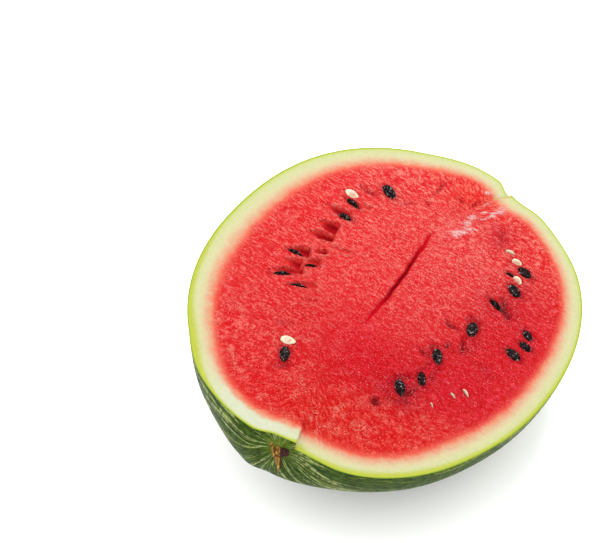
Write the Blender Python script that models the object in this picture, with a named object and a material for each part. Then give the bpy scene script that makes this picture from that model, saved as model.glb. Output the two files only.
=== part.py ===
"""Piece of a striped watermelon, cut lengthwise and lying on its skin.

The melon is drawn in the frame of its cut face: x across the face, y along it from the stem end to the
blossom end, z out of the face. One empty, "melon", carries every object and leans the face towards +X.
Sizes are metres and degrees. A turn round the face is counted from the stem end, through +x.
"""

import math

import bmesh
import bpy
from mathutils import Matrix, Vector

# Driving dimensions
FACE_HALF_LENGTH = 0.131
FACE_HALF_WIDTH = 0.114
OUTLINE_POWER = 2.14
DEPTH = 0.0878
BELLY_LEVEL = 0.0101
BELLY_SIDE = -0.0068
BELLY_DIP = 0.0241
BELLY_DIP_TURN = -1.0
BELLY_DIP_WIDTH = 23.0
LEAN = 12.2
REST_SPOT_DEPTH = 0.0038

# The two strokes of the knife meet on a line along the melon, one a little twisted from the other
JOIN_X = 0.014
STROKE_OFFSET = 0.0005
STROKE_TWIST = 0.0021

# The face's outline swells or shrinks by these amounts: turn of the middle, reach in degrees, amount
OUTLINE_BELLS = ((-126, 26, 0.0015), (60, 15, -0.0013), (156, 13, -0.0014))

# Left of the join the outline stands out at both ends: the turns where it begins, is full, is full and ends
STEM_FLAP = ((-40, -22, -4, 2), 0.0033)
BLOSSOM_FLAP = ((175, 180, 186, 204), 0.0036)

# Hollows of the skin: middle, radius and depth
STEM_HOLLOW = ((0.020, -0.129, -0.005), 0.022, 0.0052)
BLOSSOM_HOLLOW = ((0.020, 0.129, 0.0), 0.014, 0.0047)

# The whole melon's top above the face, how far cutters reach past it, and the rings of its skin
MELON_TOP = 0.06
REACH = 0.2
AROUND = 80
DOWN = 16
ABOVE_FACE = 0.12

# Clear distance between a piece and the flesh or skin that holds it
GAP = 0.00035

CRACK_FROM = (-0.002, -0.023)
CRACK_TO = (-0.009, 0.063)
CRACK_WIDTH = 0.0026
CRACK_DEPTH = 0.014
CRACK_RISE = 0.006
CRACK_OUTLINE = ((-0.9, 0.35), (0.0, 1.0), (0.9, 0.35))
CRACK_FOOT_LENGTH = 0.8
CRACK_FOOT_WIDTH = 0.12

SEED_LENGTH = 0.0125
SEED_WIDTH = 0.0078
SEED_THICKNESS = 0.0027
SEED_NARROWING = 0.38

STUB_TURN = 4.2
STUB_TOP = -0.0035
STUB_FOOT = -0.0265
STUB_WIDTH = 0.0115
STUB_THICKNESS = 0.0042
STUB_ROWS = 9
STUB_SIDES = 12
STUB_ROOT = 0.3
STUB_TAPER = 0.75
STUB_LEAST = 0.3

# Seeds by place: x, y and height of the middle in mm, heading, roll about the long axis, dip, share of full size
BLACK_SEEDS = (
    (-48.0, 75.0, -1.0, -22, 25, 12, 1.00),
    (-60.5, 51.2, -2.4, -4, 62, 8, 0.90),
    (-57.5, 38.5, -2.6, 8, 50, 10, 0.85),
    (-64.5, -7.0, -2.5, 8, 72, 4, 0.90),
    (-51.5, -9.0, -2.0, 38, 78, 6, 0.70),
    (-61.5, -26.0, -3.0, 38, 80, 0, 1.00),
    (-48.8, -27.4, -2.9, 32, 84, 0, 0.95),
    (-25.5, -76.0, -0.8, -58, 15, 0, 0.90),
    (54.0, 74.8, -0.5, -6, 30, 6, 0.88),
    (47.7, 67.6, -1.5, 4, 60, 10, 0.62),
    (56.3, 58.2, -0.6, -22, 25, 8, 0.90),
    (52.7, 41.5, -2.7, -14, 66, 6, 0.98),
    (51.3, 16.4, -0.5, 106, 14, 0, 1.04),
    (45.0, -15.5, -0.8, -44, 30, 0, 0.96),
    (46.9, -35.9, -1.0, -48, 48, 0, 0.88),
    (40.1, -49.3, -0.7, -46, 24, 0, 0.94),
    (80.0, 34.5, -1.6, -24, 20, 4, 0.80),
    (83.5, 26.0, -1.7, -6, 35, 6, 0.82),
    (81.0, 15.8, -1.0, -6, 22, 4, 0.94),
)
PALE_SEEDS = (
    (-65.4, 57.3, -0.3, 6, 16, 4, 0.78),
    (-29.5, -66.5, -0.2, 23, 10, 0, 0.74),
    (38.4, 83.2, -0.8, 14, 60, 4, 0.60),
    (45.5, 79.3, -0.9, 9, 35, 4, 0.68),
    (53.5, 67.0, -0.6, -18, 40, 8, 0.62),
    (73.0, -27.0, -0.7, -25, 80, 0, 0.50),
    (68.0, -33.5, -0.7, -20, 80, 0, 0.36),
    (61.8, -47.6, -0.6, -38, 80, 0, 0.32),
)

# Sockets that seeds fell out of: x, y in mm, heading, length, width and depth in mm
EMPTY_SOCKETS = (
    (-65.5, 39.0, -3, 19.0, 7.0, 7.0),
    (-62.0, 26.5, 0, 16.0, 8.5, 7.5),
    (-62.0, 14.5, 11, 20.0, 6.0, 6.0),
    (-61.0, 0.5, 30, 20.0, 6.0, 5.5),
    (-58.5, -9.5, 35, 20.0, 5.5, 5.0),
    (-44.0, -38.0, 32, 15.0, 4.0, 3.5),
    (35.0, -66.5, -30, 9.0, 5.5, 5.0),
)

CUTTER = {"hide_render": True, "display_type": "WIRE"}


def clear_scene():
    """Empties the file of every object it opened with."""
    for old in list(bpy.data.objects):
        bpy.data.objects.remove(old, do_unlink=True)


def material(name, colour, roughness):
    """One Principled material with a plain colour."""
    made = bpy.data.materials.new(name)
    made.use_nodes = True
    shader = made.node_tree.nodes["Principled BSDF"]
    shader.inputs["Base Color"].default_value = (*colour, 1.0)
    shader.inputs["Roughness"].default_value = roughness
    shader.inputs["Metallic"].default_value = 0.0
    made.diffuse_color = (*colour, 1.0)
    return made


def new_object(name, mesh, parent, **settings):
    """Puts a mesh into the scene under its parent."""
    made = bpy.data.objects.new(name, mesh)
    bpy.context.scene.collection.objects.link(made)
    made.parent = parent
    for key, value in settings.items():
        setattr(made, key, value)
    return made


def grid_mesh(name, rings, first, last, look):
    """Closed round mesh: rings of equal length between a first and a last point, faces outward."""
    around = len(rings[0])
    bm = bmesh.new()
    loops = [[bm.verts.new(p) for p in ring] for ring in rings]
    start = bm.verts.new(first)
    end = bm.verts.new(last)
    for i in range(around):
        j = (i + 1) % around
        bm.faces.new((start, loops[0][j], loops[0][i]))
        bm.faces.new((end, loops[-1][i], loops[-1][j]))
        for upper, lower in zip(loops, loops[1:]):
            bm.faces.new((upper[i], upper[j], lower[j], lower[i]))
    bmesh.ops.recalc_face_normals(bm, faces=bm.faces)
    mesh = bpy.data.meshes.new(name)
    bm.to_mesh(mesh)
    bm.free()
    mesh.shade_smooth()
    mesh.set_sharp_from_angle(angle=math.radians(40))
    for one in look:
        mesh.materials.append(one)
    return mesh


def smooth_step(value, low, high):
    """Rises smoothly from 0 at low to 1 at high."""
    share = min(max((value - low) / (high - low), 0.0), 1.0)
    return share * share * (3 - 2 * share)


def flap(turn, spot):
    """How far the outline stands out in a flap, at a turn in degrees."""
    (begin, full, last, end), amount = spot
    off = (turn - begin) % 360
    return amount * smooth_step(off, 0, full - begin) * (1 - smooth_step(off, last - begin, end - begin))


def face_radius(turn):
    """Distance from the middle of the cut face to its edge: a slightly squared ellipse, swollen and shrunk."""
    along = abs(math.cos(turn)) / FACE_HALF_LENGTH
    across = abs(math.sin(turn)) / FACE_HALF_WIDTH
    radius = (along**OUTLINE_POWER + across**OUTLINE_POWER) ** (-1 / OUTLINE_POWER)
    degrees = math.degrees(turn)
    for middle, reach, amount in OUTLINE_BELLS:
        off = (degrees - middle + 180) % 360 - 180
        radius += amount * math.exp(-((off / reach) ** 2))
    return radius + flap(degrees, STEM_FLAP) + flap(degrees, BLOSSOM_FLAP)


def hollow(point, spot):
    """Points near a hollow's middle sink towards the melon's middle, by a bell-shaped share of its depth."""
    middle, radius, depth = spot
    sink = depth * math.exp(-((point - Vector(middle)).length / radius) ** 2)
    return point - point.normalized() * sink


def belly_line(turn):
    """Height of the widest point of a meridian: above the face nearly all round, below it near the stem end."""
    off = (turn - math.radians(BELLY_DIP_TURN) + math.pi) % (2 * math.pi) - math.pi
    dip = math.exp(-((off / math.radians(BELLY_DIP_WIDTH)) ** 2))
    return BELLY_LEVEL + BELLY_SIDE * math.sin(turn) - BELLY_DIP * dip


def skin_point(turn, fall):
    """Point of the skin. Every meridian is an arc of an ellipse whose middle is the belly line of that turn.

    fall runs from 0 where the meridian crosses the plane of the face to 1 at the lowest point, and
    below 0 it follows the part of the melon that was cut away.
    """
    belly = belly_line(turn)
    height = DEPTH + belly
    width = face_radius(turn) / math.sqrt(1 - (belly / height) ** 2)
    level = math.asin(-belly / height)
    climb = level - (math.pi / 2 + level) * fall
    radius = width * math.cos(climb)
    point = Vector((radius * math.sin(turn), -radius * math.cos(turn), belly + height * math.sin(climb)))
    return hollow(hollow(point, STEM_HOLLOW), BLOSSOM_HOLLOW)


def fall_at(turn, z):
    """The fall at which a meridian reaches the height z, found by halving."""
    low, high = -0.4, 1.0
    for _ in range(40):
        middle = (low + high) / 2
        if skin_point(turn, middle).z > z:
            low = middle
        else:
            high = middle
    return low


def skin_rings():
    """Rings of skin points from a little above the knife's strokes down to the lowest point."""
    turns = [2 * math.pi * i / AROUND for i in range(AROUND)]
    falls = [(1 + ABOVE_FACE) * j / DOWN - ABOVE_FACE for j in range(DOWN)]
    return [[skin_point(turn, fall) for turn in turns] for fall in falls]


def box_mesh(name, low, high, look):
    """A box between two corners, made from a unit cube."""
    bm = bmesh.new()
    bmesh.ops.create_cube(bm, size=1.0)
    low, high = Vector(low), Vector(high)
    bmesh.ops.scale(bm, vec=high - low, verts=bm.verts)
    bmesh.ops.translate(bm, vec=(high + low) / 2, verts=bm.verts)
    mesh = bpy.data.meshes.new(name)
    bm.to_mesh(mesh)
    bm.free()
    mesh.materials.append(look)
    return mesh


def cut(body, cutter):
    """Takes the cutter's shape out of the body and gives the new faces the cutter's material."""
    step = body.modifiers.new("cut_" + cutter.name, "BOOLEAN")
    step.operation = "DIFFERENCE"
    step.solver = "EXACT"
    step.material_mode = "TRANSFER"
    step.object = cutter


def knife_stroke(melon, name, side, flesh):
    """One stroke: a slab whose underside is the cut, on one side of the join line and twisted along it."""
    low = (JOIN_X, -REACH, 0) if side > 0 else (-REACH, -REACH, 0)
    high = (REACH, REACH, REACH) if side > 0 else (JOIN_X, REACH, REACH)
    slab = new_object(name, box_mesh(name, low, high, flesh), melon, **CUTTER)
    slab.location.z = -side * STROKE_OFFSET
    slab.rotation_euler.x = side * math.atan(STROKE_TWIST / FACE_HALF_LENGTH)
    return slab


def crack(melon, flesh):
    """The split in the heart: a wedge, open at the face and narrowing to its bottom and both ends."""
    start, end = Vector((*CRACK_FROM, 0)), Vector((*CRACK_TO, 0))
    along = (end - start) / 2
    half = CRACK_WIDTH / 2
    bm = bmesh.new()
    far_side = [(x, -y) for x, y in reversed(CRACK_OUTLINE)]
    upper = [(-1.0, 0.0), *CRACK_OUTLINE, (1.0, 0.0), *far_side]
    foot = Vector((along.length * CRACK_FOOT_LENGTH, half * CRACK_FOOT_WIDTH, -CRACK_DEPTH))
    top = [bm.verts.new((x * along.length, y * half, CRACK_RISE)) for x, y in upper]
    bottom = [bm.verts.new((x * foot.x, y * foot.y, foot.z)) for x, y in upper]
    bm.faces.new(top)
    bm.faces.new(bottom)
    for i in range(len(top)):
        j = (i + 1) % len(top)
        bm.faces.new((top[i], top[j], bottom[j], bottom[i]))
    bmesh.ops.recalc_face_normals(bm, faces=bm.faces)
    mesh = bpy.data.meshes.new("crack")
    bm.to_mesh(mesh)
    bm.free()
    mesh.materials.append(flesh)
    wedge = new_object("crack", mesh, melon, **CUTTER)
    wedge.location = (start + end) / 2
    wedge.rotation_euler.z = math.atan2(along.y, along.x)
    return wedge


def seed_mesh(name, share, grow, look):
    """A flat drop: round behind, narrowing to a blunt tip at +x. grow is added all round."""
    half = Vector((SEED_LENGTH, SEED_WIDTH, SEED_THICKNESS)) * share / 2 + Vector((grow, grow, grow))
    bm = bmesh.new()
    bmesh.ops.create_uvsphere(bm, u_segments=12, v_segments=7, radius=1.0)
    bmesh.ops.rotate(bm, matrix=Matrix.Rotation(math.pi / 2, 3, "Y"), verts=bm.verts)
    for vert in bm.verts:
        tip = max(vert.co.x, 0.0)
        narrow = 1 - SEED_NARROWING * tip**1.5
        vert.co = Vector((vert.co.x * half.x, vert.co.y * half.y * narrow, vert.co.z * half.z * narrow))
    bmesh.ops.recalc_face_normals(bm, faces=bm.faces)
    mesh = bpy.data.meshes.new(name)
    bm.to_mesh(mesh)
    bm.free()
    mesh.shade_smooth()
    mesh.materials.append(look)
    return mesh


def stroke_height(x, y):
    """Height of the cut face above the plane of the frame."""
    side = 1 if x > JOIN_X else -1
    return side * (STROKE_TWIST * y / FACE_HALF_LENGTH - STROKE_OFFSET)


def add_seeds(melon, body, places, prefix, look, flesh):
    """Every seed, and the socket that it sits in, a gap wider all round."""
    for number, (x, y, z, heading, roll, dip, share) in enumerate(places, 1):
        name = f"{prefix}_{number:02d}"
        x, y, z = x / 1000, y / 1000, z / 1000
        place = {
            "location": (x, y, stroke_height(x, y) + z),
            "rotation_euler": (math.radians(roll), math.radians(dip), math.radians(heading)),
        }
        new_object(name, seed_mesh(name, share, 0.0, look), melon, **place)
        socket = seed_mesh("socket_" + name, share, GAP, flesh)
        cut(body, new_object("socket_" + name, socket, melon, **place, **CUTTER))


def add_empty_sockets(melon, body, flesh):
    """Wedge-shaped pits in the seed rows, where the seeds came away."""
    for number, (x, y, heading, length, width, depth) in enumerate(EMPTY_SOCKETS, 1):
        name = f"empty_socket_{number}"
        bm = bmesh.new()
        bmesh.ops.create_icosphere(bm, subdivisions=2, radius=1.0)
        size = Vector((length / 2, width / 2, depth)) / 1000
        bmesh.ops.scale(bm, vec=size, verts=bm.verts)
        mesh = bpy.data.meshes.new(name)
        bm.to_mesh(mesh)
        bm.free()
        mesh.materials.append(flesh)
        place = {
            "location": (x / 1000, y / 1000, stroke_height(x / 1000, y / 1000)),
            "rotation_euler": (0, 0, math.radians(heading)),
        }
        cut(body, new_object(name, mesh, melon, **place, **CUTTER))


def stub_mesh(name, grow, look):
    """The dried stalk: a flattened strip hanging down the skin, half sunk in it, swelling at its root."""
    turn = math.radians(STUB_TURN)
    side = Vector((math.cos(turn), math.sin(turn), 0))
    rings = []
    angles = [2 * math.pi * i / STUB_SIDES for i in range(STUB_SIDES)]
    for j in range(STUB_ROWS):
        share = (j + 0.5) / STUB_ROWS
        z = STUB_TOP + (STUB_FOOT - STUB_TOP) * share
        fall = fall_at(turn, z)
        on_skin = skin_point(turn, fall)
        down = (skin_point(turn, fall + 0.01) - skin_point(turn, fall - 0.01)).normalized()
        out = down.cross(side).normalized()
        root = math.sin(math.pi * (share * 1.6 + 0.25))
        swell = root if share < STUB_ROOT else 1 - STUB_TAPER * (share - STUB_ROOT)
        close = math.sqrt(1 - (2 * share - 1) ** 8)
        wide = STUB_WIDTH / 2 * max(swell, STUB_LEAST) * close + grow
        thick = STUB_THICKNESS / 2 * (1.25 - 0.7 * share) * close + grow
        rings.append([on_skin + side * wide * math.cos(a) + out * thick * math.sin(a) for a in angles])
    first = skin_point(turn, fall_at(turn, STUB_TOP)) + Vector((0, 0, grow))
    last = skin_point(turn, fall_at(turn, STUB_FOOT)) - Vector((0, 0, grow))
    return grid_mesh(name, rings, first, last, [look])


def stand_over_origin(melon, pieces):
    """Moves the melon sideways until the middle of its box is over the origin."""
    graph = bpy.context.evaluated_depsgraph_get()
    places = []
    for piece in pieces:
        whole = piece.evaluated_get(graph)
        places += [whole.matrix_world @ vert.co for vert in whole.data.vertices]
    melon.location.x -= (min(p.x for p in places) + max(p.x for p in places)) / 2
    melon.location.y -= (min(p.y for p in places) + max(p.y for p in places)) / 2


def main():
    clear_scene()
    skin = material("melon_skin", (0.028, 0.085, 0.018), 0.42)
    flesh = material("melon_flesh", (0.78, 0.045, 0.05), 0.38)
    black = material("seed_black", (0.012, 0.010, 0.009), 0.25)
    cream = material("seed_cream", (0.80, 0.62, 0.36), 0.40)
    bark = material("stalk_dry", (0.22, 0.11, 0.03), 0.85)

    rings = skin_rings()
    bottom = skin_point(0.0, 1.0)
    top = Vector((0, 0, MELON_TOP))
    lean = Matrix.Rotation(math.radians(LEAN), 3, "Y")
    lowest = min((lean @ point).z for ring in rings for point in ring)

    melon = bpy.data.objects.new("melon", None)
    bpy.context.scene.collection.objects.link(melon)
    melon.rotation_euler.y = math.radians(LEAN)
    melon.location.z = -lowest - REST_SPOT_DEPTH

    body_mesh = grid_mesh("melon_half", rings, top, bottom, [skin, flesh])
    body = new_object("melon_half", body_mesh, melon)
    cut(body, knife_stroke(melon, "stroke_left", -1, flesh))
    cut(body, knife_stroke(melon, "stroke_right", 1, flesh))
    ground = box_mesh("ground", (-REACH, -REACH, -REACH), (REACH, REACH, 0), skin)
    cut(body, new_object("ground", ground, None, **CUTTER))
    cut(body, crack(melon, flesh))
    add_empty_sockets(melon, body, flesh)
    add_seeds(melon, body, BLACK_SEEDS, "seed", black, flesh)
    add_seeds(melon, body, PALE_SEEDS, "pale_seed", cream, flesh)

    stub = new_object("stem_stub", stub_mesh("stem_stub", 0.0, bark), melon)
    stub_seat = new_object("stub_seat", stub_mesh("stub_seat", GAP, skin), melon, **CUTTER)
    cut(body, stub_seat)
    stand_over_origin(melon, (body, stub))


main()
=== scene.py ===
"""Half of a striped watermelon lying on its skin, cut face up.

The melon is worked out in the frame of its cut face and then leaned: x across the face, y along it from
the stem end to the blossom end, z out of the face. Turns round the face are counted from the stem end,
through +x. Places on the face and all tables of it are in mm, everything else in metres. The melon's points
keep the values that its finish reads: how far in from the skin they are, how torn, how wet and so on.
"""

import itertools
import math

import bpy
import numpy as np
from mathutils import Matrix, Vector


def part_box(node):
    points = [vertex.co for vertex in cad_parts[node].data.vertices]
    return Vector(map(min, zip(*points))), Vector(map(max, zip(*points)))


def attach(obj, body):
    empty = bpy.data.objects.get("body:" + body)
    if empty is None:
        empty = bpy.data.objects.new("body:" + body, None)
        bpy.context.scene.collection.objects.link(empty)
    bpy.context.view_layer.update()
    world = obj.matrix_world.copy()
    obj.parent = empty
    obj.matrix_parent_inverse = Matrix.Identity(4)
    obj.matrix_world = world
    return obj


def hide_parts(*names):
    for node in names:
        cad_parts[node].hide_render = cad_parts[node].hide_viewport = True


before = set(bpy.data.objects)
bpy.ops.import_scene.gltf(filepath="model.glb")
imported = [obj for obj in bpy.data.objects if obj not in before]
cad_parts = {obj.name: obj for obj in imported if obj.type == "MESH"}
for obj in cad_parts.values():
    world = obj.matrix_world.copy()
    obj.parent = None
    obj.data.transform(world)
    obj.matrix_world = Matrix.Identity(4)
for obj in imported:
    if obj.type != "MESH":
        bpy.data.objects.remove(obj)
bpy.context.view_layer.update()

MM = 0.001

# The melon's own sizes
FACE_HALF_LENGTH = 0.131
FACE_HALF_WIDTH = 0.114
LENGTH_MM, WIDTH_MM = 131, 114
OUTLINE_POWER = 2.14
DEPTH = 0.0878
BELLY_LEVEL = 0.0101
BELLY_SIDE = -0.0068
BELLY_DIP = 0.0241
BELLY_DIP_TURN = math.radians(-1.0)
BELLY_DIP_WIDTH = math.radians(23.0)
LEAN = math.radians(12.2)
LEANING = np.array(
    ((math.cos(LEAN), 0, math.sin(LEAN)), (0, 1, 0), (-math.sin(LEAN), 0, math.cos(LEAN)))
)
REST_SPOT_DEPTH = 0.0038
HOLLOWS = (((0.020, -0.129, -0.005), 0.022, 0.0052), ((0.020, 0.129, 0.0), 0.014, 0.0047))

# Grid of turns and falls on which the lowest point of the skin is looked for
FLOOR_TURNS, FLOOR_FALLS = 80, 16

# The face's outline swells or shrinks: turn of the middle, reach in degrees, amount
OUTLINE_BELLS = ((-126, 26, 0.0015), (60, 15, -0.0013), (157, 14, -0.0030))

# The rind's share of its usual width, and the width of the lime green line under the skin. Each swells or
# shrinks: turn of the middle, reach in degrees, amount
RIND_SHARE, LIME_LINE = 1.02, 1.5
RIND_BELLS = (
    (-85, 50, 0.16), (12, 10, 0.20), (52, 13, 0.16), (172, 6, 0.30),
    (-14, 11, -0.20), (140, 40, -0.16), (186, 9, -0.22),
)
LIME_BELLS = ((-35, 14, 3.6), (-62, 14, 1.2), (30, 24, 2.4), (85, 25, 0.9), (8.6, 1.6, 3.0))

# Left of the join the outline stands out at both ends: the turns where it begins, is full, is full and ends
FLAPS = (((-40, -22, -4, 2), 0.0033), ((175, 180, 186, 204), 0.0036))

# How far each knife stroke tilts at the melon's ends, and half of the step between the two
STROKE_TWIST = 2.1
STROKE_OFFSET = 0.5

# The skin's stripes run between these two places, this many of them, begun this far round
STEM_POLE = (8.5, -128.0, -6.0)
BLOSSOM_POLE = (13.5, 126.0, 0.0)
STRIPES, STRIPE_PHASE = 11.0, 0.6

# Camera: from where it looks at the middle of the face, its lens in mm, and the melon's place in its view
CAMERA_AZIMUTH, CAMERA_ELEVATION, CAMERA_DISTANCE = 32.4, 44.76, 1.22
CAMERA_LENS = 117.65
CAMERA_AIM = (0.04125, -0.0147, -1.0)

# Grid of the cut face, where its lines crowd (place, reach, amount), how near the join it draws its columns
# in, and rows of the skin below it
CELLS = 250
SKIN_ROWS = 34
CROWD_ACROSS = ((-0.52, 0.13, 0.8), (-0.03, 0.07, 0.5), (0.46, 0.12, 0.7))
CROWD_ALONG = ((0.12, 0.42, 0.5),)
JOIN_PULL = 0.010

# Where the two knife strokes meet and the heart split: y and x down the melon, and the width of the slope
JOIN = (
    (-131, 17.5), (-111.5, 12), (-80, 9), (-50, 4), (-23, -2),
    (21, -3.4), (63, -9), (96, 0.7), (117, 8.7), (131, 14),
)
JOIN_SLOPE = (
    (-131, 0), (-113, 0), (-104, 3), (-60, 16), (60, 8), (95, 3), (112, 1.6), (120, 0), (131, 0),
)
CRACK_ENDS = (-25, 66)
CRACK_DEPTH = 2.6

# The heart swells out of the cut: middle x and y, reach across and along, height
HEART = (22, 34, 30, 66, 1.1)

# The relief of the flesh begins and is full this far from the skin
SOFT_FROM, SOFT_FULL = 8, 19

# The depths at which a socket and a crease have their full painted shade
SOCKET_FULL, CREASE_FULL = 4.5, 1.9

# Sockets that seeds fell out of: middle x and y, heading, length, width, depth
SOCKETS = (
    (-65.2, 40, 3, 18.5, 6.4, 5),
    (-62.3, 25.7, 8, 14, 9, 5.5),
    (-62.3, 15.2, 20, 20, 6.2, 4.6),
    (-64.3, -4.4, 30, 15, 6.6, 4.2),
    (-53.2, 4.2, 40, 8.5, 4, 4),
    (-46.5, 13.5, 17, 15, 3, 1.6),
    (-62.3, -14.6, 22, 12.5, 6, 4),
    (-52.8, -5.6, 40, 10.5, 4.8, 3.2),
    (-61.8, -22.6, 39, 24, 5, 3.6),
    (-48.5, -26.2, 33, 20, 4.4, 2.6),
    (-39, -34.2, 31, 15, 3, 1),
    (-60, 52.2, 0, 13, 3.6, 2.4),
    (-53.5, 55.4, 4, 9, 3.4, 2.2),
)

# Creases and furrows: from x, y to x, y, width and depth
FURROWS = (
    (-66.5, 67.7, -51, 67.2, 1.8, 1.8),
    (-24.7, 92.5, -25.3, 109, 1, 1.4),
    (-26.3, 87.4, -21.8, 82.1, 0.9, 1.2),
    (-13.5, 103.2, -5, 100.2, 1.2, 1.3),
    (-1.2, 101, 0.4, 110, 1, 1.5),
    (-37.8, 72.1, -29.9, 79.4, 1.3, 1.1),
    (-2.5, 96, 7.4, 117.5, 1, 0.7),
    (25, 96, 33, 82.5, 2.6, 1.3),
    (44, 70, 41, 78, 1.4, 0.9),
    (52.6, 49.5, 66.1, 36, 2.6, 2.6),
    (45.5, 39.5, 58.5, 33, 1.2, 0.9),
    (33.8, 10.4, 47.3, 8.6, 1.1, 2),
    (46.5, 24.5, 44, 19, 1.3, 1.6),
    (50, 8, 57, -5, 2, 2),
    (45.6, -8, 46.8, -3, 1.4, 2),
    (32.9, -17.4, 42, -20.9, 1.1, 2),
    (42, -20.9, 38.4, -10.5, 1.2, 1.6),
    (43.4, -21.5, 45.2, -26.5, 1.2, 1.6),
    (45, -27, 42.6, -32, 1.4, 1.6),
    (51.8, -22, 50.5, -38, 2, 1.6),
    (44, -36.5, 33, -45.5, 1.6, 1.8),
    (49, -40, 44, -53, 3.6, 2),
    (34.5, -44.5, 31.5, -59, 2.6, 1.3),
    (38, -60, 50, -57, 3, 1.3),
    (70.5, -1.5, 78.5, -9.5, 2.2, 0.8),
    (-25, -87, -17.5, -80, 2.6, 1.4),
    (6.5, 116.5, 15.5, 125, 1.2, 1.1),
    (32, -64.5, 36.5, -69, 2.6, 2.6),
)

# Places that stand proud of the cut, or lie under it: middle x and y, reach along and across, heading, height
MOUNDS = (
    (49.5, -0.5, 9, 6, 55, 1.5),
    (36.5, -3, 8, 7, 0, 0.8),
    (38, -27, 9, 6.5, -70, 1),
    (34.5, -38.5, 7, 7, 0, 0.8),
    (47.5, -48, 9, 5.5, -60, -1.6),
    (46, -60, 10, 4, 30, -0.9),
    (53.5, -59, 7, 1.6, 45, 0.9),
    (60, 5, 8, 20, 10, -0.6),
    (-24.5, -84, 7, 4, 50, -0.8),
)

# Torn places, nearly white: middle x and y, reach along and across, heading
TORN = (
    (5.2, 75, 5.5, 3.2, 35),
    (2.6, 71.5, 4, 1.6, -20),
    (5.4, 84.5, 3.2, 1.8, 70),
    (4.6, 91.5, 3.6, 2.4, 80),
    (8, 80, 3.5, 1.2, 20),
    (17.2, 109, 6.5, 2.5, 64),
    (14, 102, 2, 2.6, 0),
    (6.4, 110, 7.5, 1.1, 73),
    (9, 100.5, 4, 0.9, 40),
    (1.5, 119, 3.2, 1.8, 20),
    (14.5, 111.5, 5, 1.6, 72),
    (14.5, 113.5, 3, 1.2, 60),
    (11.5, 95.5, 5, 0.9, 62),
    (10.5, 83, 4.5, 0.9, 30),
)

# Dark red places, painted with the creases' shade colours: middle x and y, reach along and across, heading,
# amount
DARK_SPOTS = (
    (46.5, -50, 12, 7, -62, 0.9),
    (36, -57, 5, 5, 0, 0.8),
    (34, -66.5, 5, 3, -50, 1),
    (51.5, -31, 9, 2.6, -80, 0.7),
    (57, 3, 9, 4.5, 55, 0.65),
    (62, 44, 12, 6, -50, 0.6),
    (74.5, -5.5, 6.5, 3, -45, 0.75),
    (28, 88, 9, 4, -60, 0.6),
    (62, 63, 8, 4.5, -40, 0.65),
    (60, 74, 4, 3, -40, 0.5),
    (-39, -57, 6, 3, 30, 0.55),
    (78, 16, 7, 3, -40, 0.5),
    (-21.5, -84, 8, 3.5, 45, 0.55),
)

# Places that glisten with juice: middle x and y, reach along and across, heading, amount
WET = ((12, -50, 24, 23, 0, 1), (68, 8, 26, 45, 0, 0.5))

# The flap of nearly white rind left of the stem end's step: middle x and y, reach along and across, heading
WHITE_FLAP = (-14, -122, 34, 22, 0)

# Fibres of the stalk: how far to the side they begin and end, the height they begin at, length and radius,
# and how dark and old they are
STRANDS = (
    (-6.4, 0.2, -3, 15, 0.70, 0.3),
    (-5.6, 0.9, -3.4, 13.5, 0.80, 0.1),
    (-4.8, 0.8, -4.6, 10, 0.65, 0.5),
    (-2.3, 2.4, -4.6, 17, 0.85, 0.2),
    (-1.3, 3, -4.8, 20, 1.05, 0),
    (-0.3, 3.4, -5.2, 18.5, 0.85, 0.3),
    (0.6, 3.6, -5.8, 13.5, 0.80, 0.7),
    (1.7, 3.2, -4.6, 6.5, 1.20, 1),
    (3.2, 4.4, -4.2, 5, 1.30, 1),
    (4.7, 5.2, -4, 4, 1.10, 1),
)

# Room: reach of the floor, strength of the light all round, and the key light's azimuth, elevation, distance,
# size and power
FLOOR_REACH = 6
ROOM_LIGHT = 1.85
KEY_LIGHT = (190, 68, 1.9, 0.8, 27.0)

# Share of the light that a surface of full tone gives back in this bright room
TONE_SHARE = 0.43


def tone(red, green, blue):
    """A colour on the 0-255 scale, as the share of light that the surface gives back."""
    share = np.array((red, green, blue)) / 255
    light = np.where(share < 0.04045, share / 12.92, ((share + 0.055) / 1.055) ** 2.4)
    return tuple(float(v) for v in TONE_SHARE * light)


# Painted light on the sockets' shallow walls, brighter than any full tone of the cut
SOCKET_WALL_LIGHT = tuple(1.4 * share for share in tone(244, 58, 54))

# Colours from the skin inwards: share of the rind's colour depth, and colour
RIND_DEPTH = 17
RIND_TONES = (
    (0.00, tone(194, 206, 112)),
    (0.10, tone(212, 218, 142)),
    (0.20, tone(217, 220, 160)),
    (0.33, tone(222, 219, 168)),
    (0.46, tone(228, 208, 162)),
    (0.58, tone(230, 184, 146)),
    (0.70, tone(236, 156, 122)),
    (0.84, tone(240, 112, 88)),
)

# Colours of the dry stalk along its grain, from painted shade in the gaps between its fibres to painted
# highlights on their backs
STALK_SHADE_TO_HIGHLIGHT = (
    (0.32, tone(58, 28, 14)),
    (0.44, tone(124, 74, 24)),
    (0.54, tone(196, 142, 50)),
    (0.66, tone(232, 192, 104)),
)

# The bright strands of the flesh: the power and the gain that turn its colour into theirs
STRAND_POWER, STRAND_GAIN = (0.50, 0.60, 0.62), (1.13, 1.56, 1.38)

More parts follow.
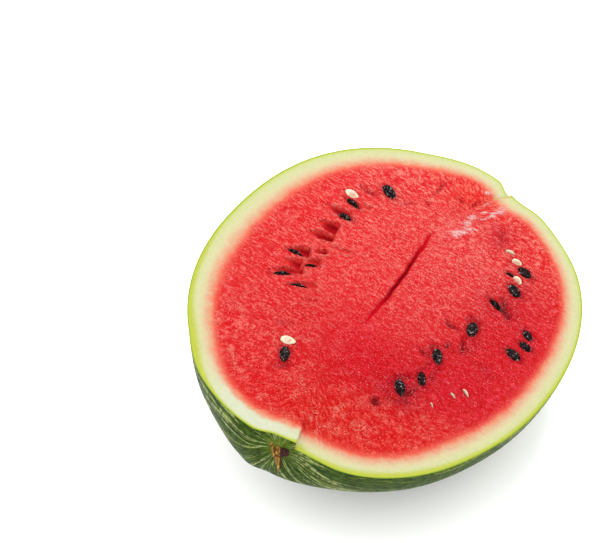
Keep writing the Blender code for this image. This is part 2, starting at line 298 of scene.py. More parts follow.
# Colours of the flesh by place: middle x and y, reach, red, green and blue
BLUSH = (
    (-85, -10, 40, 242, 42, 44),
    (-55, -50, 40, 238, 44, 48),
    (-85, 45, 35, 248, 56, 54),
    (-35, 25, 40, 248, 56, 58),
    (-35, 70, 35, 248, 72, 70),
    (-15, 108, 26, 246, 62, 56),
    (22, 55, 32, 248, 74, 74),
    (20, 15, 26, 240, 50, 54),
    (2, -30, 20, 234, 22, 36),
    (18, -48, 18, 220, 2, 18),
    (-8, -62, 22, 228, 12, 26),
    (-30, -90, 26, 230, 20, 24),
    (22, -96, 30, 224, 20, 14),
    (40, -52, 16, 204, 6, 26),
    (55, -75, 26, 228, 24, 24),
    (62, -28, 24, 216, 6, 26),
    (58, 12, 22, 222, 20, 30),
    (56, 46, 14, 204, 8, 28),
    (84, 10, 30, 222, 12, 28),
    (80, 50, 26, 226, 18, 32),
    (55, 88, 26, 240, 60, 56),
    (28, 90, 10, 216, 24, 40),
    (-60, 5, 14, 240, 60, 56),
    (-2, 109, 13, 248, 48, 24),
    (11, 109, 6, 248, 60, 36),
)


class Wire:
    """A shader value or vector. Python's own signs between wires and numbers turn into Math nodes."""

    def __init__(self, finish, socket):
        self.finish = finish
        self.socket = socket

    def joined(self, operation, first, second):
        both = (first, second)
        if not any(isinstance(v, tuple) or isinstance(v, Wire) and v.socket.type != "VALUE" for v in both):
            return self.finish.maths(operation, first, second)
        spread = [(v, v, v) if isinstance(v, (int, float)) else v for v in both]
        return self.finish.node("VectorMath", {"operation": operation}, {0: spread[0], 1: spread[1]})

    def __add__(self, other):
        return self.joined("ADD", self, other)

    def __sub__(self, other):
        return self.joined("SUBTRACT", self, other)

    def __rsub__(self, other):
        return self.joined("SUBTRACT", other, self)

    def __mul__(self, other):
        return self.joined("MULTIPLY", self, other)

    def __truediv__(self, other):
        return self.joined("DIVIDE", self, other)

    def __pow__(self, other):
        return self.joined("POWER", self, other)

    __radd__ = __add__
    __rmul__ = __mul__


class Finish:
    """One material, and the nodes that feed its shader."""

    def __init__(self, name, **constants):
        self.material = bpy.data.materials.new(name)
        self.material.use_nodes = True
        self.tree = self.material.node_tree
        self.shader = self.tree.nodes["Principled BSDF"]
        self.dress(**constants)

    def feed(self, target, value):
        if isinstance(value, Wire):
            self.tree.links.new(value.socket, target)
        elif isinstance(value, tuple) and len(value) == 3 and target.type == "RGBA":
            target.default_value = (*value, 1.0)
        else:
            target.default_value = value

    def node(self, kind, settings=None, sockets=None, out=0):
        """A node of a kind: its settings first, then its sockets' values or wires."""
        made = self.tree.nodes.new("ShaderNode" + kind)
        for key, value in (settings or {}).items():
            setattr(made, key, value)
        for key, value in (sockets or {}).items():
            self.feed(made.inputs[key], value)
        return Wire(self, made.outputs[out])

    def attribute(self, name, out="Fac"):
        return self.node("Attribute", {"attribute_name": name}, out=out)

    def noise(self, place, scale, detail=2.0, rough=0.5, bend=0.0, out=0):
        sockets = {"Vector": place, "Scale": scale, "Detail": detail, "Roughness": rough, "Distortion": bend}
        return self.node("TexNoise", {}, sockets, out)

    def between(self, value, low, high, bottom=0.0, top=1.0):
        """A smooth step from bottom to top as the value goes from low to high."""
        sockets = {"Value": value, "From Min": low, "From Max": high, "To Min": bottom, "To Max": top}
        return self.node("MapRange", {"interpolation_type": "SMOOTHSTEP"}, sockets)

    def mix(self, share, first, second, blend="MIX"):
        settings = {"data_type": "RGBA", "blend_type": blend}
        return self.node("Mix", settings, {0: share, 6: first, 7: second}, 2)

    def ramp(self, value, stops):
        made = self.node("ValToRGB", {}, {"Fac": value})
        elements = made.socket.node.color_ramp.elements
        while len(elements) < len(stops):
            elements.new(0.5)
        for element, (place, colour) in zip(elements, stops):
            element.position = place
            element.color = (*colour, 1.0)
        return made

    def dot(self, first, second):
        return self.node("VectorMath", {"operation": "DOT_PRODUCT"}, {0: first, 1: second}, "Value")

    def length(self, vector):
        return self.node("VectorMath", {"operation": "LENGTH"}, {0: vector}, "Value")

    def maths(self, operation, first, second=0.0):
        return self.node("Math", {"operation": operation}, {0: first, 1: second})

    def bump(self, height, strength, distance):
        return self.node("Bump", {}, {"Strength": strength, "Distance": distance, "Height": height})

    def dress(self, **sockets):
        """Feeds the shader's sockets, named with _ for a space, and gives back the material."""
        for key, value in sockets.items():
            self.feed(self.shader.inputs[key.replace("_", " ")], value)
        return self.material


def smooth(value, low, high):
    """Smooth step from 0 at low to 1 at high."""
    share = np.clip((value - low) / (high - low), 0, 1)
    return share * share * (3 - 2 * share)


def bell(off, reach):
    """One at no distance, falling off to both sides: e to the minus of the squared share of the reach."""
    return np.exp(-((off / reach) ** 2))


def bells(turn, table):
    """Sum of bells over the turns round the face: turn of the middle in degrees, reach and amount of each."""
    degrees = np.degrees(turn)
    return sum(amount * bell((degrees - middle + 180) % 360 - 180, reach) for middle, reach, amount in table)


def along_across(x, y, middle_x, middle_y, heading):
    """Places as seen from a middle: how far along its heading, and how far to the left of it."""
    turn = math.radians(heading)
    dx, dy = x - middle_x, y - middle_y
    return dx * math.cos(turn) + dy * math.sin(turn), dy * math.cos(turn) - dx * math.sin(turn)


def oval(x, y, place, power=1.5):
    """One in an oval's middle, falling off outwards: e to the minus of its squared distance to a power."""
    middle_x, middle_y, long, short, heading = place
    along, across = along_across(x, y, middle_x, middle_y, heading)
    return np.exp(-(((along / long) ** 2 + (across / short) ** 2) ** power))


def between_rings(rings):
    """Squares between neighbouring closed rings of points."""
    after = np.roll(rings, -1, axis=1)
    return np.stack((rings[:-1], rings[1:], after[1:], after[:-1]), -1).reshape(-1, 4)


def fan(ring, tip):
    """Triangles between a closed ring and the point that closes it, facing as the squares before the ring."""
    return np.stack((ring, np.full(len(ring), tip), np.roll(ring, -1)), -1)


def grain(points, seed):
    """Smooth chance value from -1 to 1: one per whole-number point, blended between the eight round it."""
    table = np.random.default_rng(seed).uniform(-1, 1, 4096)
    cell = np.floor(points).astype(np.int64)
    part = points - cell
    part = part * part * (3 - 2 * part)
    total = np.zeros(points.shape[:-1])
    for corner in itertools.product((0, 1), repeat=3):
        weight = np.where(np.array(corner) == 1, part, 1 - part).prod(-1)
        key = (cell + corner) @ np.array((73856093, 19349663, 83492791))
        total += weight * table[(key ^ (key >> 13)) % 4096]
    return total


def leaned(points):
    """Points of the face's frame as they lie in the room: turned about y, +x going down, and moved."""
    return np.asarray(points, float) @ LEANING.T + PLACE


def unleaned(points):
    """The way back from the room to the face's frame."""
    return (np.asarray(points, float) - PLACE) @ LEANING


def plain_radius(turn):
    """Middle of the face to its plain outline: one over the power sum of its shares along and across."""
    along = np.abs(np.cos(turn)) / FACE_HALF_LENGTH
    across = np.abs(np.sin(turn)) / FACE_HALF_WIDTH
    return (along**OUTLINE_POWER + across**OUTLINE_POWER) ** (-1 / OUTLINE_POWER)


def face_radius(turn):
    """Middle of the face to its edge: the plain outline, bell-shaped swells, and a flap at each end."""
    radius = plain_radius(turn) + bells(turn, OUTLINE_BELLS)
    for (begin, full, last, end), amount in FLAPS:
        off = (np.degrees(turn) - begin) % 360
        radius = radius + amount * smooth(off, 0, full - begin) * (1 - smooth(off, last - begin, end - begin))
    return radius


def skin_at(turn, fall):
    """Skin point: each meridian is an arc of an ellipse about its belly line, sunk near the two hollows.

    fall is 0 where the meridian crosses the plane of the face and 1 at the melon's lowest point.
    """
    off = (turn - BELLY_DIP_TURN + math.pi) % (2 * math.pi) - math.pi
    belly = BELLY_LEVEL + BELLY_SIDE * np.sin(turn) - BELLY_DIP * bell(off, BELLY_DIP_WIDTH)
    height = DEPTH + belly
    width = face_radius(turn) / np.sqrt(1 - (belly / height) ** 2)
    level = np.arcsin(-belly / height)
    climb = level - (math.pi / 2 + level) * fall
    radius = width * np.cos(climb)
    points = np.stack((radius * np.sin(turn), -radius * np.cos(turn), belly + height * np.sin(climb)), -1)
    for middle, reach, depth in HOLLOWS:
        away = np.linalg.norm(points - middle, axis=-1, keepdims=True)
        towards = points / np.linalg.norm(points, axis=-1, keepdims=True)
        points = points - towards * depth * bell(away, reach)
    return points


def fall_at(turn, z):
    """The fall at which each meridian reaches the height z, found by halving."""
    low = np.full(np.shape(turn), -0.4)
    high = np.ones(np.shape(turn))
    for _ in range(36):
        middle = (low + high) / 2
        above = skin_at(turn, middle)[..., 2] > z
        low = np.where(above, middle, low)
        high = np.where(above, high, middle)
    return low


def find_place():
    """Move that lines the melon up with its CAD box, and lift that puts its rest spot on the floor."""
    turns = np.arange(FLOOR_TURNS) * 2 * math.pi / FLOOR_TURNS
    turns, falls = np.meshgrid(turns, np.arange(FLOOR_FALLS) * 1.12 / FLOOR_FALLS - 0.12)
    rough = leaned(skin_at(turns, falls))
    lift = -rough[..., 2].min() - REST_SPOT_DEPTH
    turns, falls = np.meshgrid(np.linspace(0, 2 * math.pi, 721), np.linspace(0, 1, 200))
    fine = leaned(skin_at(turns, falls))
    low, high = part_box("melon_half")
    sideways = [(low[i] + high[i]) / 2 - (fine[..., i].min() + fine[..., i].max()) / 2 for i in (0, 1)]
    return np.array((*sideways, lift))


PLACE = np.zeros(3)
PLACE = find_place()


def spaced(count, crowds):
    """count steps from -1 to 1, closer together by a bell-shaped share near each crowded place."""
    fine = np.linspace(-1, 1, 4001)
    density = 1 + sum(extra * bell(fine - middle, reach) for middle, reach, extra in crowds)
    run = np.concatenate(([0], np.cumsum((density[1:] + density[:-1]) / 2)))
    return np.interp(np.linspace(0, 1, count + 1), run / run[-1], fine)


def join_x(y):
    """x of the line where the strokes meet: straight runs, with a torn edge's small waves in the flesh."""
    waves = 0.16 * np.sin(y / 1.9) + 0.22 * np.sin(y / 4.1 + 1) + 0.35 * np.sin(y / 9.7 + 2)
    return np.interp(y, *np.transpose(JOIN)) + waves * smooth(-np.abs(y), -108, -90)


def face_grid():
    """Grid of a square laid over the face, x and y in mm, with columns drawn close to the join line.

    A square's point (u, v) goes to the disc point (u * root(1 - v2/2), v * root(1 - u2/2)), which is pushed
    out to the outline's power.
    """
    u, v = np.meshgrid(spaced(CELLS, CROWD_ACROSS), spaced(CELLS, CROWD_ALONG))
    join_u = join_x(LENGTH_MM * v) / (WIDTH_MM * np.sqrt(1 - v * v / 2))
    off = u - join_u
    side = np.where(off > 0, 1.0, -1.0)
    pull = off * JOIN_PULL**2 / (off**2 + JOIN_PULL**2) * (1 - smooth(np.abs(off), 0.08, 0.2))
    u = np.where(np.abs(u) < 1, join_u + off - pull, u)
    across = u * np.sqrt(1 - v * v / 2)
    along = v * np.sqrt(1 - u * u / 2)
    share = np.hypot(across, along)
    lean_in = np.maximum(share, 1e-9)
    sides = np.abs(across / lean_in) ** OUTLINE_POWER + np.abs(along / lean_in) ** OUTLINE_POWER
    push = np.where(share > 1e-6, sides ** (-1 / OUTLINE_POWER), 1.0)
    return WIDTH_MM * across * push, LENGTH_MM * along * push, share, side


def edge_tables():
    """For turns round the face: the skin's point in its plane, and how that point moves with height."""
    turns = np.linspace(0, 2 * math.pi, 2881)[:-1]
    flat, up, down = (skin_at(turns, fall_at(turns, z))[:, :2] / MM for z in (0.0, 0.003, -0.003))
    plain = plain_radius(turns) / MM
    ideal = np.stack((plain * np.sin(turns), -plain * np.cos(turns)), -1)
    return turns, flat - ideal, (up - down) / 6.0


def round_table(turn, turns, values):
    """Values of a table of turns, at any turn."""
    return np.stack([np.interp(turn, turns, values[:, i], period=2 * math.pi) for i in (0, 1)], -1)


def to_segment(x, y, start, end):
    """Distance to a straight line between two points, and the share along it."""
    dx, dy = end[0] - start[0], end[1] - start[1]
    share = np.clip(((x - start[0]) * dx + (y - start[1]) * dy) / (dx * dx + dy * dy), 0, 1)
    return np.hypot(x - start[0] - share * dx, y - start[1] - share * dy), share


def socket_dip(x, y, socket):
    """A wedge scooped by a seed: a ramp from its pointed end down to a blunt inner end, with steep sides."""
    cx, cy, heading, length, width, depth = socket
    ragged = 0.5 * grain(np.stack((x / 2.2, y / 2.2, 0 * x + cx), -1), 7)
    along, across = along_across(x, y, cx, cy, heading)
    along, across = along / (length / 2), across + ragged
    opening = width / 2 * np.clip(0.2 + 0.8 * smooth(along, -1.1, 0.1), 0, 1)
    walls = 1 - smooth(np.abs(across) - opening, -0.9, 0.5)
    ramp = smooth(along, -1.5, 0.6) * smooth(along, -1.2, -1.05) * (1 - smooth(along, 0.88, 1.04))
    left = bell(across + opening + 1.0, 1.6)
    right = 0.4 * bell(across - opening - 1.0, 1.4)
    ends = smooth(along, -1.1, 0.0) * (1 - smooth(along, 1.1, 1.35))
    beyond = bell(along - 1.18, 0.18) * (np.abs(across) < width)
    return depth * walls * ramp, (left + right) * ends + 0.8 * beyond


def seed_places():
    """Middle, axes and half sizes in mm of each CAD seed in the face's frame. The first axis is its tip's."""
    places = {}
    for name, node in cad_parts.items():
        if "seed" not in name:
            continue
        points = np.zeros(len(node.data.vertices) * 3, np.float32)
        node.data.vertices.foreach_get("co", points)
        points = np.unique(np.round(unleaned(points.reshape(-1, 3)) / MM, 4), axis=0)
        middle = points.mean(0)
        axes = np.linalg.svd(points - middle, full_matrices=False)[2]
        local = (points - middle) @ axes.T
        middle = middle + ((local.max(0) + local.min(0)) / 2) @ axes
        local = (points - middle) @ axes.T
        front = np.abs(local[local[:, 0] > 0][:, 1]).mean()
        behind = np.abs(local[local[:, 0] < 0][:, 1]).mean()
        if front > behind:
            axes[0] *= -1
        axes[2] = np.cross(axes[0], axes[1])
        if axes[2, 2] < 0:
            axes[1:] *= -1
        places[name] = (middle, axes, (local.max(0) - local.min(0)) / 2)
    return places


SEEDS = seed_places()


def under_seed(x, y, seed):
    """Height of the underside of a seed, as an ellipsoid, and how many of its radii away each point lies."""
    middle, axes, half = seed
    form = (axes.T / half**2) @ axes
    dx, dy = x - middle[0], y - middle[1]
    flat = form[0, 0] * dx**2 + 2 * form[0, 1] * dx * dy + form[1, 1] * dy**2
    tilt = form[0, 2] * dx + form[1, 2] * dy
    inside = tilt**2 - form[2, 2] * (flat - 1)
    away = np.sqrt(np.maximum(flat - tilt**2 / form[2, 2], 0))
    low = middle[2] + (-tilt - np.sqrt(np.maximum(inside, 0))) / form[2, 2]
    return np.where(inside > 0, low, 99.0), away


def knife_planes(x, y, side):
    """How far off the join each place is, and the height of the two strokes there.

    Each tilts along the melon against the other. The join's slope spreads the step between them.
    """
    off = x - join_x(y)
    slope = np.interp(y, *np.transpose(JOIN_SLOPE))
    sided = np.where(slope < 0.05, side, off / np.sqrt(off**2 + slope**2 + 1e-6))
    return off, sided * (STROKE_TWIST * y / LENGTH_MM - STROKE_OFFSET)


def torn_cover(x, y, off):
    """How torn the flesh is: a faint band right of the join towards the blossom end, and the torn places."""
    cover = 0.3 * bell(off - 7, 9) * smooth(y, 56, 72) * (1 - smooth(y, 110, 118))
    for place in TORN:
        cover = np.maximum(cover, oval(x, y, place, 1.3))
    return cover


def crack_gape(y, off):
    """How open the heart's crack is: a flat half wave along it, a steep left wall, a long right slope."""
    share = np.clip((y - CRACK_ENDS[0]) / (CRACK_ENDS[1] - CRACK_ENDS[0]), 0, 1)
    gape = np.sin(math.pi * share) ** 0.40 * (0.78 + 0.22 * smooth(y, -30, 15))
    right = 0.75 * (1 - smooth(off, 0.4, 1.6)) + 0.25 * (1 - smooth(off, 0.8, 5.0))
    return gape * smooth(off, -1.6, -0.9) * right


def sockets_and_creases(x, y, points):
    """Depth of the empty sockets, of the creases, and the lips pushed up beside the sockets."""
    dips, creases, lip = np.zeros_like(x), np.zeros_like(x), np.zeros_like(x)
    for socket in SOCKETS:
        dip, rim = socket_dip(x, y, socket)
        dips, lip = np.maximum(dips, dip), np.maximum(lip, rim)
    wander = 0.8 * grain(points / 3.1, 8)
    for x0, y0, x1, y1, width, depth in FURROWS:
        distance, along = to_segment(x, y, (x0, y0), (x1, y1))
        fade = np.sqrt(np.clip(4 * along * (1 - along), 0, 1))
        creases += depth * fade * bell(distance + wander, width)
    return dips, creases, lip


def seed_beds(x, y, height, ragged):
    """The height with a bed pressed in and a lip raised for every seed, and the painted shade round the
    seeds.
    """
    seed_shade, sunk = np.zeros_like(x), height
    for name, seed in SEEDS.items():
        low, away = under_seed(x, y, seed)
        ring = bell(np.maximum(away - 1, 0), 0.5)
        seed_shade = np.maximum(seed_shade, ring * (0.4 if name.startswith("pale") else 1.0))
        lip_height = 0.35 * bell(away - 1.3, 0.4) * (0.8 + 0.8 * ragged)
        inside = 1 - smooth(away, 0.55, 0.95)
        under = np.minimum(low + 0.3, height)
        sunk = sunk + lip_height - 0.5 * bell(away - 1.0, 0.22)
        sunk = np.where(away < 1, sunk * (1 - inside) + np.minimum(under, sunk) * inside, sunk)
    return sunk, seed_shade


def face_relief(x, y, rind, side, fibre):
    """Height of the cut face in mm, the sum of its parts and chance waves, and the masks its finish reads."""
    points = np.stack((x, y, 0 * x), -1)
    off, height = knife_planes(x, y, side)
    soft = smooth(rind, SOFT_FROM, SOFT_FULL)
    ragged = grain(points / 2.6, 3) * 0.6 + grain(points / 1.3, 4) * 0.3

    heart_x, heart_y, across, along, swell = HEART
    heart = smooth(1.25 - np.hypot((x - heart_x) / across, (y - heart_y) / along), 0, 0.5) * smooth(off, 0, 7)
    cover = torn_cover(x, y, off)
    height = height + swell * heart + cover * (0.9 + 1.1 * ragged)
    height += soft * (0.55 * grain(points / 17, 1) + 0.28 * grain(points / 7, 2))
    for *place, proud in MOUNDS:
        height += proud * oval(x, y, place)
    height += soft * (0.20 * grain(fibre * 0.6, 5) + 0.12 * grain(fibre * 1.1, 6))
    gash_and_shade = crack_gape(y, off)
    height -= CRACK_DEPTH * gash_and_shade

    dips, creases, lip = sockets_and_creases(x, y, points)
    pit = np.clip(dips / SOCKET_FULL, 0, 1)
    dips += creases
    lip = lip * (1 - smooth(dips, 0.2, 1.2)) * (0.7 + 0.6 * ragged)
    height += 0.7 * lip - dips
    height, seed_shade = seed_beds(x, y, height, ragged)

    wet = np.max([amount * oval(x, y, place, 1.4) for *place, amount in WET], axis=0)
    # Painted shade: the creases and the dark places, for the finish to darken
    crease_shade = np.clip(creases / CREASE_FULL, 0, 1)
    for *place, amount in DARK_SPOTS:
        crease_shade = np.maximum(crease_shade, amount * oval(x, y, place) * (0.85 + 0.5 * ragged))
    torn = 0.22 * cover + 0.78 * smooth(cover + 0.5 * ragged, 0.36, 0.86)
    masks = {"pit": pit, "gash_and_shade": gash_and_shade, "crease_shade": crease_shade, "wet": wet, "torn": torn, "seed_shade": seed_shade}
    return height, {**masks, "lip": np.clip(lip, 0, 1)}


def blush(x, y):
    """Colour of the flesh by place: the near places' colours, weighted by a bell over each one's reach."""
    weights = np.stack([bell(np.hypot(x - cx, y - cy), reach) + 1e-6 for cx, cy, reach, *_ in BLUSH], -1)
    return weights @ np.array([tone(*spot[3:]) for spot in BLUSH]) / weights.sum(-1, keepdims=True)


def fibre_place(x, y):
    """Places stretched along the fibres, which run square to the melon's axis and fan out round its two ends.

    The first value grows slowly along a fibre, the second across the fibres.
    """
    foot = np.clip(y, -70, 85)
    distance = np.hypot(x - 3, y - foot)
    swing = np.arctan2(y - foot, np.abs(x - 3))
    return np.stack((distance * 0.15, (foot + 38 * swing * distance / (distance + 20)) * 0.55, x * 0.10), -1)


def melon_mesh():
    """The half as one closed skin: the face's grid, rows of skin hung from its edge, and a bottom point."""
    x, y, share, side = face_grid()
    turn = np.arctan2(x, -y)
    turns, hollow, creep = edge_tables()
    near_edge = (share**8)[..., None]
    hollowed = round_table(turn, turns, hollow) * near_edge
    x, y = x + hollowed[..., 0], y + hollowed[..., 1]
    radius = np.hypot(x, y) / np.maximum(share, 1e-9)
    rind = (1 - share) * radius * (0.955 + 0.045 * np.cos(2 * turn))
    rind_share = RIND_SHARE + bells(turn, RIND_BELLS)
    fibre = fibre_place(x, y)
    height, masks = face_relief(x, y, rind, side, fibre)
    moved = round_table(turn, turns, creep) * near_edge * height[..., None]
    face = np.stack((x + moved[..., 0], y + moved[..., 1], height), -1).reshape(-1, 3) * MM

    n = CELLS + 1
    index = np.arange(n * n).reshape(n, n)
    rim = np.concatenate((index[0, :-1], index[:-1, -1], index[-1, :0:-1], index[:0:-1, 0]))
    around = len(rim)
    edge_turn = np.arctan2(face[rim, 0], -face[rim, 1])
    start = fall_at(edge_turn, face[rim, 2])
    steps = (np.arange(1, SKIN_ROWS + 1) / (SKIN_ROWS + 1)) ** 1.35
    falls = start + (1 - start) * steps[:, None]
    skin = skin_at(np.broadcast_to(edge_turn, falls.shape), falls)
    skin = skin + pucker(skin)
    bottom = skin_at(np.zeros(1), np.ones(1))
    local = np.concatenate((face, skin.reshape(-1, 3), bottom))

    corners = index[:-1, :-1], index[:-1, 1:], index[1:, 1:], index[1:, :-1]
    quads = [np.stack([c.ravel() for c in corners], -1)]
    rows = np.concatenate((rim[None], n * n + np.arange(SKIN_ROWS * around).reshape(SKIN_ROWS, around)))
    quads = np.concatenate((*quads, between_rings(rows)))
    closing = fan(rows[-1], len(local) - 1)

    mesh = bpy.data.meshes.new("melon")
    room = leaned(local)
    room[:, 2] = np.maximum(room[:, 2], 0)
    fill_mesh(mesh, room, quads, closing)
    kind = np.ones(len(quads) + len(closing), np.int32)
    kind[: CELLS * CELLS] = 0
    mesh.polygons.foreach_set("material_index", kind)
    mark_rim_sharp(mesh, rim, len(local))

    spare = len(local) - n * n
    lime = LIME_LINE + bells(turn, LIME_BELLS)
    flap = oval(x, y, WHITE_FLAP) * (side < 0)
    masks.update(rind=rind / rind_share, lime=lime, flap=flap)
    for name, values in masks.items():
        put(mesh, name, np.concatenate((values.ravel(), np.zeros(spare))))
    put(mesh, "grown", local / MM)
    put(mesh, "fibre", np.concatenate((fibre.reshape(-1, 3), np.zeros((spare, 3)))))
    colour = np.ones((len(local), 4))
    colour[: n * n, :3] = blush(x, y).reshape(-1, 3)
    put(mesh, "blush", colour)
    colour[:, :3] = TONE_SHARE * (colour[:, :3] / TONE_SHARE) ** STRAND_POWER * STRAND_GAIN
    put(mesh, "blush_bright", colour)
    return mesh


def pucker(skin):
    """Soft ridges round the stalk's scar: a wave of the angle round it, strongest a little way out."""
    away = skin / MM - STEM_POLE
    distance = np.linalg.norm(away, axis=-1)
    angle = np.arctan2(away[..., 2], away[..., 0])
    waves = 0.5 * np.sin(9 * angle + 0.6) + 0.35 * np.sin(15 * angle + 2.1) + 0.25 * np.sin(23 * angle)
    strength = smooth(distance, 4, 9) * bell(distance, 22) * smooth(-away[..., 2], -1, 4)
    out = skin / np.linalg.norm(skin, axis=-1, keepdims=True)
    return out * (0.55 * MM * waves * strength)[..., None]


def fill_mesh(mesh, points, quads, triangles=()):
    """Puts points, four-sided faces and three-sided faces into a mesh as whole arrays, shaded smoothly."""
    loops = np.concatenate((quads.ravel(), np.ravel(triangles)))
    sizes = np.repeat((4, 3), (len(quads), len(triangles)))
    mesh.vertices.add(len(points))
    mesh.vertices.foreach_set("co", np.ascontiguousarray(points, np.float32).ravel())
    mesh.loops.add(len(loops))
    mesh.loops.foreach_set("vertex_index", loops.astype(np.int32))
    mesh.polygons.add(len(sizes))
    mesh.polygons.foreach_set("loop_start", (np.cumsum(sizes) - sizes).astype(np.int32))
    mesh.polygons.foreach_set("use_smooth", np.ones(len(sizes), bool))
    mesh.update(calc_edges=True)
    mesh.validate()


def put(mesh, name, values):
    """Stores a number, a vector of three or a colour of four for every point of a mesh."""
    kind, field = {
        1: ("FLOAT", "value"),
        3: ("FLOAT_VECTOR", "vector"),
        4: ("FLOAT_COLOR", "color"),
    }[values.size // len(values)]
    layer = mesh.attributes.new(name, kind, "POINT")
    layer.data.foreach_set(field, np.ascontiguousarray(values, np.float32).ravel())


def mark_rim_sharp(mesh, rim, count):
    """The knife's edge: every edge that joins two neighbours on the rim is sharp."""
    on_rim = np.zeros(count, bool)
    on_rim[rim] = True
    ends = np.zeros(len(mesh.edges) * 2, np.int32)
    mesh.edges.foreach_get("vertices", ends)
    ends = ends.reshape(-1, 2)
    layer = mesh.attributes.new("sharp_edge", "BOOLEAN", "EDGE")
    layer.data.foreach_set("value", on_rim[ends].all(1))


def add_object(name, data):
    made = bpy.data.objects.new(name, data)
    bpy.context.scene.collection.objects.link(made)
    return made


def add_piece(name, mesh, looks, replaced):
    """Links a finished mesh as a piece that rides with the melon and stands for its CAD nodes."""
    for look in looks:
        mesh.materials.append(look)
    made = add_object(name, mesh)
    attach(made, "root")
    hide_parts(*replaced)


def seen_from(azimuth, elevation):
    """Direction from the melon to a place seen at this azimuth, counted from -y through +x, and elevation."""
    a, e = math.radians(azimuth), math.radians(elevation)
    return Vector((math.sin(a) * math.cos(e), -math.cos(a) * math.cos(e), math.sin(e)))


def add_camera():
    """A long lens, looked from the stem end's right and high, aimed a little left of and above the melon."""
    back = seen_from(CAMERA_AZIMUTH, CAMERA_ELEVATION)
    data = bpy.data.cameras.new("camera")
    data.lens = CAMERA_LENS
    data.sensor_width = 36.0
    data.clip_start = 0.05
    made = add_object("camera", data)
    aim = Vector(CAMERA_AIM).normalized().rotation_difference(Vector((0, 0, -1)))
    made.rotation_mode = "QUATERNION"
    made.rotation_quaternion = back.to_track_quat("Z", "Y") @ aim
    made.location = Vector(leaned(np.zeros(3))) + back * CAMERA_DISTANCE
    bpy.context.scene.camera = made


